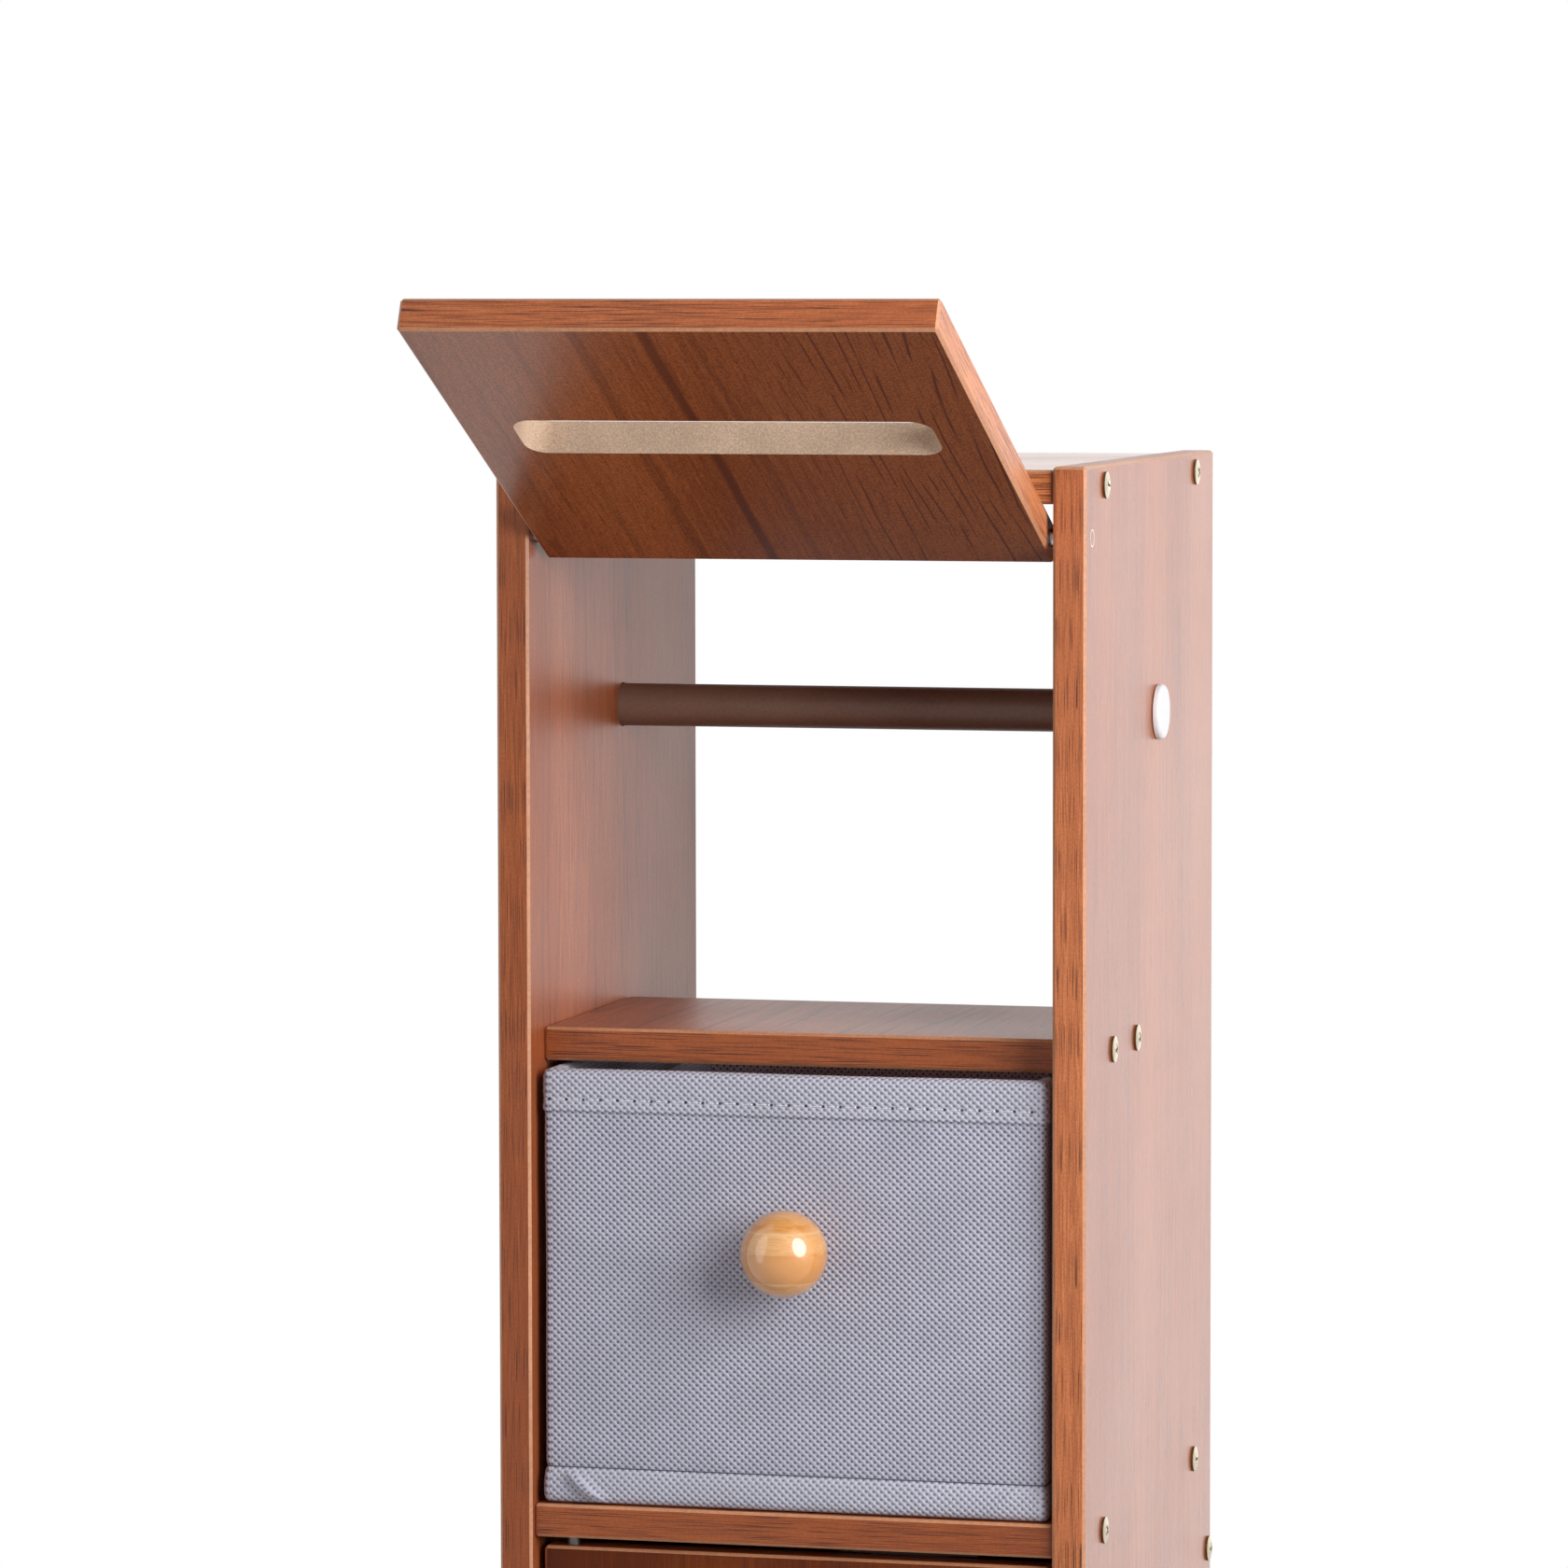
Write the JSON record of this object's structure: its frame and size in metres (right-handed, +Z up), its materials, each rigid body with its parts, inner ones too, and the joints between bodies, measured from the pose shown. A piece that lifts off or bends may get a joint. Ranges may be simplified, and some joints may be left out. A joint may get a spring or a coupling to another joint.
{
  "type": "slim storage rack",
  "caption": "Slim free-standing bathroom rack of wood-grain board: flip-up slotted lid over a roll rod, fabric drawer with a ball knob and a low cabinet with a pin-hung door.",
  "frame": {"origin": "on the floor, under the middle of the carcass's width and depth", "axes": "+X to the right seen from the front, +Y to the back, +Z up"},
  "size_m": [0.1736, 0.3087, 0.827],
  "materials": {
    "board_laminate": "satin wood-grain laminate on board",
    "screw_steel": "yellow zinc plated",
    "plain_steel": "bright steel",
    "white_plastic": "white, semi-gloss",
    "brown_plastic": "dark brown, matt",
    "ferrite": "dark sintered magnet",
    "rod_finish": "taupe, matt",
    "fabric": "grey non-woven, dot embossed",
    "card": "grey card",
    "knob_wood": "clear varnished light wood"
  },
  "bodies": {
    "carcass": {"left_side_panel": "board_laminate", "right_side_panel": "board_laminate", "top_panel": "board_laminate", "roll_shelf": "board_laminate", "drawer_shelf": "board_laminate", "bottom_panel": "board_laminate", "back_panel": "board_laminate", "panel_screws_left": "screw_steel", "panel_screws_right": "screw_steel", "lid_pivot_pins": "plain_steel", "door_pivot_pins": "plain_steel", "door_catch_housing": "brown_plastic", "door_catch_magnet": "ferrite", "door_catch_screws": "screw_steel"},
    "lid": {"lid_panel": "board_laminate"},
    "rod": {"roll_rod": "rod_finish", "rod_end_cap": "white_plastic"},
    "drawer": {"drawer_fabric": "fabric", "drawer_lining": "fabric", "drawer_front_board": "card", "drawer_back_board": "card", "drawer_left_board": "card", "drawer_right_board": "card", "drawer_base_board": "card", "drawer_knob": "knob_wood", "drawer_knob_screw": "screw_steel", "drawer_knob_washer": "plain_steel"},
    "door": {"door_panel": "board_laminate", "door_knob": "knob_wood", "door_knob_screw": "screw_steel", "door_strike_plate": "plain_steel", "door_strike_screw": "screw_steel"}
  },
  "joints": [
    {"name": "lid_hinge", "type": "hinge", "parent": "carcass", "child": "lid", "pos_m": [0, -0.0818, 0.76], "axis": [1, 0, 0], "range_deg": [-5, 115]},
    {"name": "rod_slide", "type": "slide", "parent": "carcass", "child": "rod", "axis": [1, 0, 0], "range_m": [0, 0.158]},
    {"name": "drawer_slide", "type": "slide", "parent": "carcass", "child": "drawer", "axis": [0, -1, 0], "range_m": [0, 0.15]},
    {"name": "door_hinge", "type": "hinge", "parent": "carcass", "child": "door", "pos_m": [-0.066, -0.07975, 0.25], "axis": [0, 0, -1], "range_deg": [0, 110]}
  ]
}
